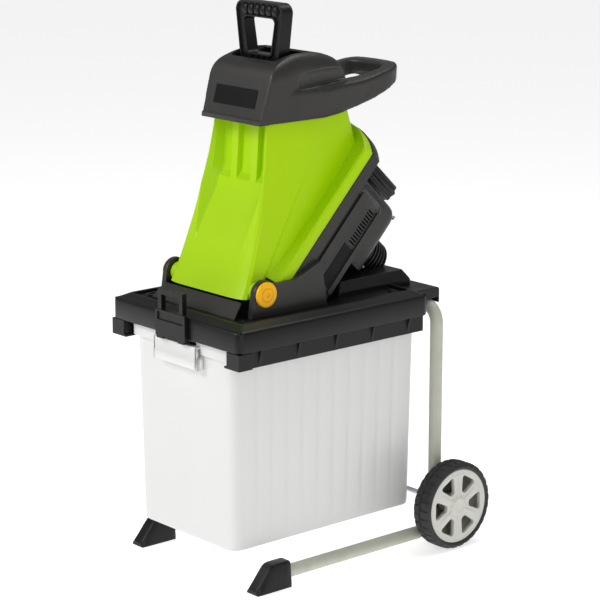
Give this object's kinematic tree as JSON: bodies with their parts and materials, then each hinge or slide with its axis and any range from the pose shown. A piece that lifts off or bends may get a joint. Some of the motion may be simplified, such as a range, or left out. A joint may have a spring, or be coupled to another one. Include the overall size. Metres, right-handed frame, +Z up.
{
  "type": "wood chipper",
  "caption": "Electric garden shredder with a tilting feed hopper over a cutting disc, a slide-out collection bin and a two-wheeled bent-tube frame.",
  "frame": {"origin": "on the ground, under the middle of the whole machine", "axes": "+Z up, -Y the front where the bin slides out, +Y the wheels, +X the side of the right-hand wheel"},
  "size_m": [0.469, 0.5724, 1.019],
  "materials": {
    "green_plastic": "satin moulded",
    "charcoal_plastic": "fine textured moulded",
    "black_plastic": "satin moulded",
    "amber_plastic": "glossy moulded",
    "bin_plastic": "milky translucent moulded",
    "tube_paint": "satin powder coat",
    "rim_plastic": "satin moulded",
    "tyre": "matte",
    "rubber_grip": "soft ribbed",
    "steel": "zinc plated",
    "blade_steel": "ground",
    "copper": "lacquered windings and laminations",
    "carbon": "graphite",
    "label": "blank printed film",
    "start_green": "moulded",
    "stop_red": "moulded"
  },
  "bodies": {
    "chassis": {"frame_tube_left": "tube_paint", "frame_tube_right": "tube_paint", "tube_clamps": "charcoal_plastic", "clamp_bolts": "steel", "foot_left": "black_plastic", "foot_right": "black_plastic", "axle": "steel", "wheel_washers": "steel", "axle_clips": "steel", "base_cover": "black_plastic", "bin_rail_left": "black_plastic", "bin_rail_right": "black_plastic", "rail_screws": "steel", "front_apron": "charcoal_plastic", "discharge_chute": "charcoal_plastic", "motor_housing": "charcoal_plastic", "motor_cowl": "charcoal_plastic", "motor_end_cap": "black_plastic", "cowl_screws": "steel", "rating_label": "label", "pivot_cap_left": "amber_plastic", "pivot_cap_right": "amber_plastic", "pivot_screws": "steel", "motor_plate": "steel", "motor_stator": "copper", "carbon_brushes": "carbon", "bearing_upper": "steel", "bearing_lower": "steel", "switch_box": "black_plastic", "power_inlet": "black_plastic"},
    "wheel_left": {"rim_left": "rim_plastic", "tyre_left": "tyre", "hub_cap_left": "rim_plastic"},
    "wheel_right": {"rim_right": "rim_plastic", "tyre_right": "tyre", "hub_cap_right": "rim_plastic"},
    "bin": {"collection_bin": "bin_plastic"},
    "latch": {"latch_slider": "black_plastic"},
    "hopper": {"hopper_shell": "green_plastic", "hood": "charcoal_plastic", "name_plate": "label", "handle_grip": "rubber_grip", "hood_screws": "steel", "chute_liner": "black_plastic"},
    "plunger": {"plunger_handle": "black_plastic", "plunger_block": "black_plastic"},
    "cutter": {"motor_shaft": "steel", "armature": "copper", "commutator": "copper", "cooling_fan": "black_plastic", "blade_disc": "steel", "blades": "blade_steel", "blade_screws": "steel", "disc_nut": "steel"},
    "lock_carrier": {"lock_washer": "steel"},
    "lock": {"lock_knob": "black_plastic", "lock_screw": "steel"},
    "start": {"start_button": "start_green"},
    "stop": {"stop_button": "stop_red"},
    "reset": {"reset_button": "black_plastic"}
  },
  "joints": [
    {"name": "wheel_left_spin", "type": "hinge", "parent": "chassis", "child": "wheel_left", "pos_m": [-0.2135, 0.20375, 0.0825], "axis": [1, 0, 0], "continuous": true},
    {"name": "wheel_right_spin", "type": "hinge", "parent": "chassis", "child": "wheel_right", "pos_m": [0.2135, 0.20375, 0.0825], "axis": [1, 0, 0], "continuous": true},
    {"name": "bin_slide", "type": "slide", "parent": "chassis", "child": "bin", "axis": [0, -1, 0], "range_m": [0, 0.45]},
    {"name": "latch_lift", "type": "slide", "parent": "chassis", "child": "latch", "axis": [0, 0, 1], "range_m": [0, 0.018]},
    {"name": "hopper_tilt", "type": "hinge", "parent": "chassis", "child": "hopper", "pos_m": [0, -0.17585, 0.526], "axis": [1, 0, 0], "range_deg": [0, 50]},
    {"name": "plunger_lift", "type": "slide", "parent": "hopper", "child": "plunger", "axis": [0, 0, 1], "range_m": [0, 0.3]},
    {"name": "cutter_spin", "type": "hinge", "parent": "chassis", "child": "cutter", "pos_m": [0, 0.00973, 0.66159], "axis": [0, -0.7254, 0.6884], "continuous": true},
    {"name": "lock_travel", "type": "slide", "parent": "chassis", "child": "lock_carrier", "axis": [0, 0.7254, -0.6884], "range_m": [0, 0.006]},
    {"name": "lock_turn", "type": "hinge", "parent": "lock_carrier", "child": "lock", "pos_m": [0, 0.17519, 0.69068], "axis": [0, 0.7254, -0.6884], "range_deg": [0, 1081]},
    {"name": "start_press", "type": "slide", "parent": "chassis", "child": "start", "axis": [1, 0, 0], "range_m": [0, 0.003], "stiffness_N_per_m": 300, "springref_m": -0.002},
    {"name": "stop_press", "type": "slide", "parent": "chassis", "child": "stop", "axis": [1, 0, 0], "range_m": [0, 0.003], "stiffness_N_per_m": 300, "springref_m": -0.002},
    {"name": "reset_press", "type": "slide", "parent": "chassis", "child": "reset", "axis": [1, 0, 0], "range_m": [0, 0.003], "stiffness_N_per_m": 300, "springref_m": -0.002}
  ],
  "couplings": [
    {"joint": "lock_turn", "follows": "lock_travel", "rad_per_m": 3141.6}
  ]
}
